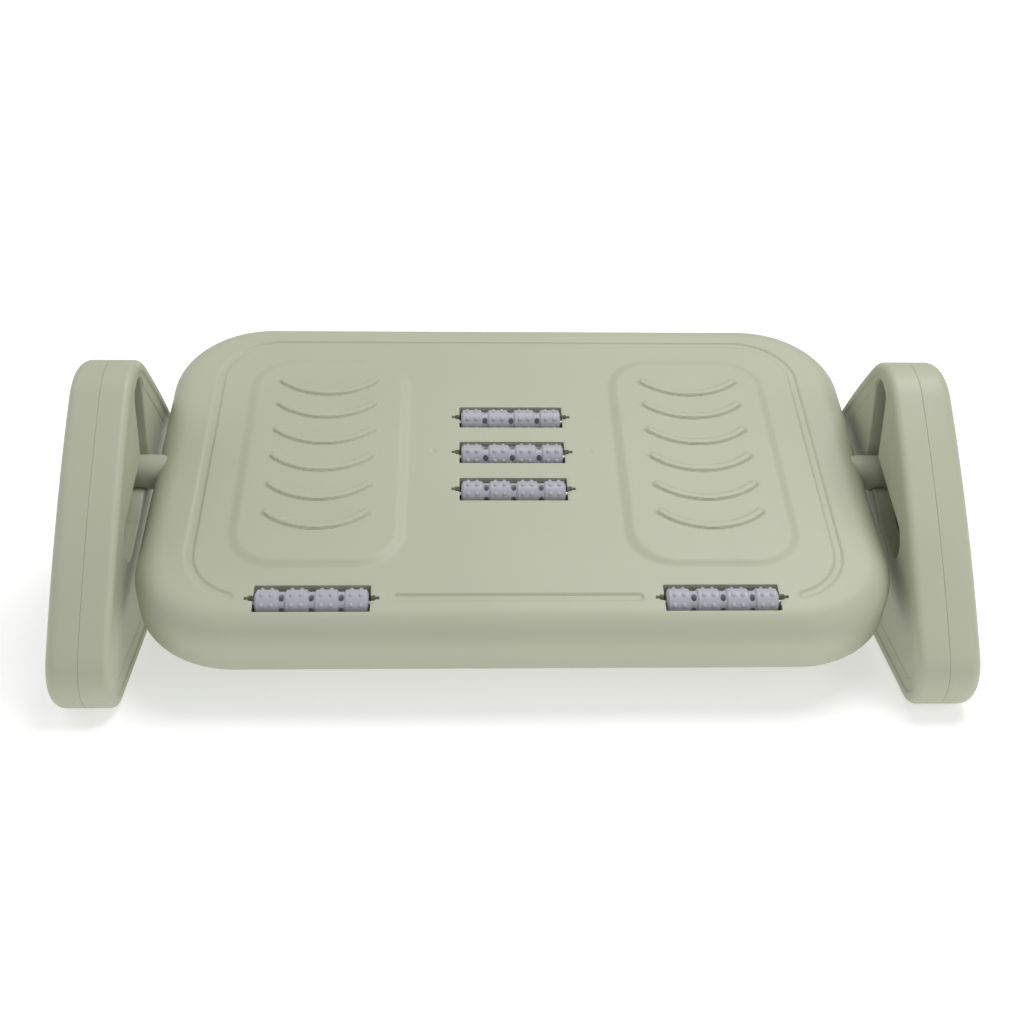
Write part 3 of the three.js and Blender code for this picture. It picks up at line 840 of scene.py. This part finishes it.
# ---------------------------------------------------------------- screws
def pan_screw(name, head_r, head_height, length, place, body, node):
    """Pan-head screw with a cross recess, thread and point; the shank runs along +height."""
    profile = [(head_r * 0.55, -head_height), (head_r * 0.85, -head_height * 0.8),
               (head_r, -head_height * 0.35), (head_r, 0), (SCREW_R, 0)]
    turns = int((length - 2) / THREAD_PITCH)
    for i in range(turns):
        start = THREAD_PITCH / 2 + THREAD_PITCH * i
        profile += [(SCREW_R - THREAD_DEPTH, start), (SCREW_R, start + THREAD_PITCH / 2)]
    profile += [(SCREW_R - 0.3, length - 1.6), (0.2, length)]
    screw = turned(name, profile, place, sides=32)
    for a, b in (RECESS_HALF, RECESS_HALF[::-1]):
        low = (-a, -b, -head_height - 1)
        high = (a, b, -head_height + RECESS_DEPTH)
        combine(screw, block("recess", low, high, place))
    smooth(screw)
    finish_piece(screw, body, "steel", STEEL, node)


def screws():
    cover_seat = SKIRT_BOTTOM + COVER_RECESS + COVER_SEAT_DEPTH - GAP
    for i, (x, v) in enumerate(DECK_SCREWS, 1):
        place = lambda p, x=x, v=v: deck_place(p + np.array([x, v, cover_seat]))
        pan_screw(f"cover_screw_{i}", 3.6, 1.3, 12, place, "platform", f"deck_screw_{i}")
    for word, side in SIDES:
        seat = LEG_INNER_X + LEG_SEAT_DEPTH - GAP
        for i, (y, z) in enumerate(LEG_SCREWS, 1):
            place = lambda p, y=y, z=z: leg_place(side)(p + np.array([y, z, seat]))
            pan_screw(f"shell_screw_{word}_{i}", 3.4, 1.6, 22, place, "legs", f"leg_screw_{word}_{i}")
        tip = PEG_TIP_X + 2 * GAP + PEG_CAP_THICK
        place = lambda p: peg_place(side)(p * (1, 1, -1) + np.array([0, 0, tip]))
        pan_screw(f"cap_screw_{word}", 3.4, 1.6, 14, place, "pegs", f"peg_cap_screw_{word}")


# ---------------------------------------------------------------- studio
def add_floor():
    """A pale floor with a glow of its own that grows away from the object."""
    mesh = bpy.data.meshes.new("floor")
    shape = bmesh.new()
    bmesh.ops.create_grid(shape, x_segments=1, y_segments=1, size=FLOOR_HALF_SIZE)
    shape.to_mesh(mesh)
    shape.free()
    floor = bpy.data.objects.new("floor", mesh)
    bpy.context.scene.collection.objects.link(floor)
    material, tree, shader = new_material("pale_floor")
    tinted(tree, shader, (0.7, 0.7, 0.7), 0.003, 3)
    shader.inputs["Roughness"].default_value = 0.9
    shader.inputs["Emission Color"].default_value = (1, 1, 1, 1)
    coordinates = tree.nodes.new("ShaderNodeTexCoord")
    distance = tree.nodes.new("ShaderNodeVectorMath")
    distance.operation = "LENGTH"
    glow = tree.nodes.new("ShaderNodeMapRange")
    glow.inputs["From Min"].default_value = FLOOR_GLOW_DISTANCE[0]
    glow.inputs["From Max"].default_value = FLOOR_GLOW_DISTANCE[1]
    glow.inputs["To Min"].default_value = FLOOR_GLOW_STRENGTH[0]
    glow.inputs["To Max"].default_value = FLOOR_GLOW_STRENGTH[1]
    tree.links.new(coordinates.outputs["Object"], distance.inputs[0])
    tree.links.new(distance.outputs["Value"], glow.inputs["Value"])
    tree.links.new(glow.outputs["Result"], shader.inputs["Emission Strength"])
    floor.data.materials.append(material)


def add_light(name, place, target, size, power):
    data = bpy.data.lights.new(name, "AREA")
    data.shape = "DISK"
    data.size = size
    data.energy = power
    light = bpy.data.objects.new(name, data)
    light.location = place
    light.rotation_euler = (Vector(target) - Vector(place)).to_track_quat("-Z", "Y").to_euler()
    bpy.context.scene.collection.objects.link(light)


def add_studio():
    scene = bpy.context.scene
    scene.view_settings.view_transform = "Standard"
    world = bpy.data.worlds.new("studio")
    world.use_nodes = True
    background = world.node_tree.nodes["Background"]
    background.inputs["Color"].default_value = (1, 1, 1, 1)
    background.inputs["Strength"].default_value = WORLD_STRENGTH
    scene.world = world
    for light in LIGHTS:
        add_light(*light)


def add_camera():
    data = bpy.data.cameras.new("camera")
    data.sensor_width = CAMERA_SENSOR
    data.lens = CAMERA_LENS
    camera = bpy.data.objects.new("camera", data)
    forward = Vector(CAMERA_FORWARD).normalized()
    level = forward.cross(Vector((0, 0, 1))).normalized()
    over = level.cross(forward)
    roll = math.radians(CAMERA_ROLL)
    right = level * math.cos(roll) + over * math.sin(roll)
    up = right.cross(forward)
    turn = Matrix((right, up, -forward)).transposed().to_4x4()
    camera.matrix_world = Matrix.Translation(CAMERA_PLACE) @ turn
    bpy.context.scene.collection.objects.link(camera)
    bpy.context.scene.camera = camera


# ---------------------------------------------------------------- assembly
SIDES = (("left", -1), ("right", 1))

add_camera()
add_studio()
add_floor()
deck_top()
bottom_cover()
for roller_name, (slot_x, slot_v, turn) in ROLLERS.items():
    roller(roller_name, slot_x, slot_v, turn)
    axle(roller_name, slot_x, slot_v)
for side_word, side_sign in SIDES:
    leg_inner(side_word, leg_place(side_sign))
    leg_outer(side_word, leg_place(side_sign))
    for end_word, foot_y in FOOT_Y.items():
        rubber_foot(side_word, end_word, foot_y, leg_place(side_sign))
    peg(side_word, peg_place(side_sign))
    peg_cap(side_word, peg_place(side_sign))
screws()
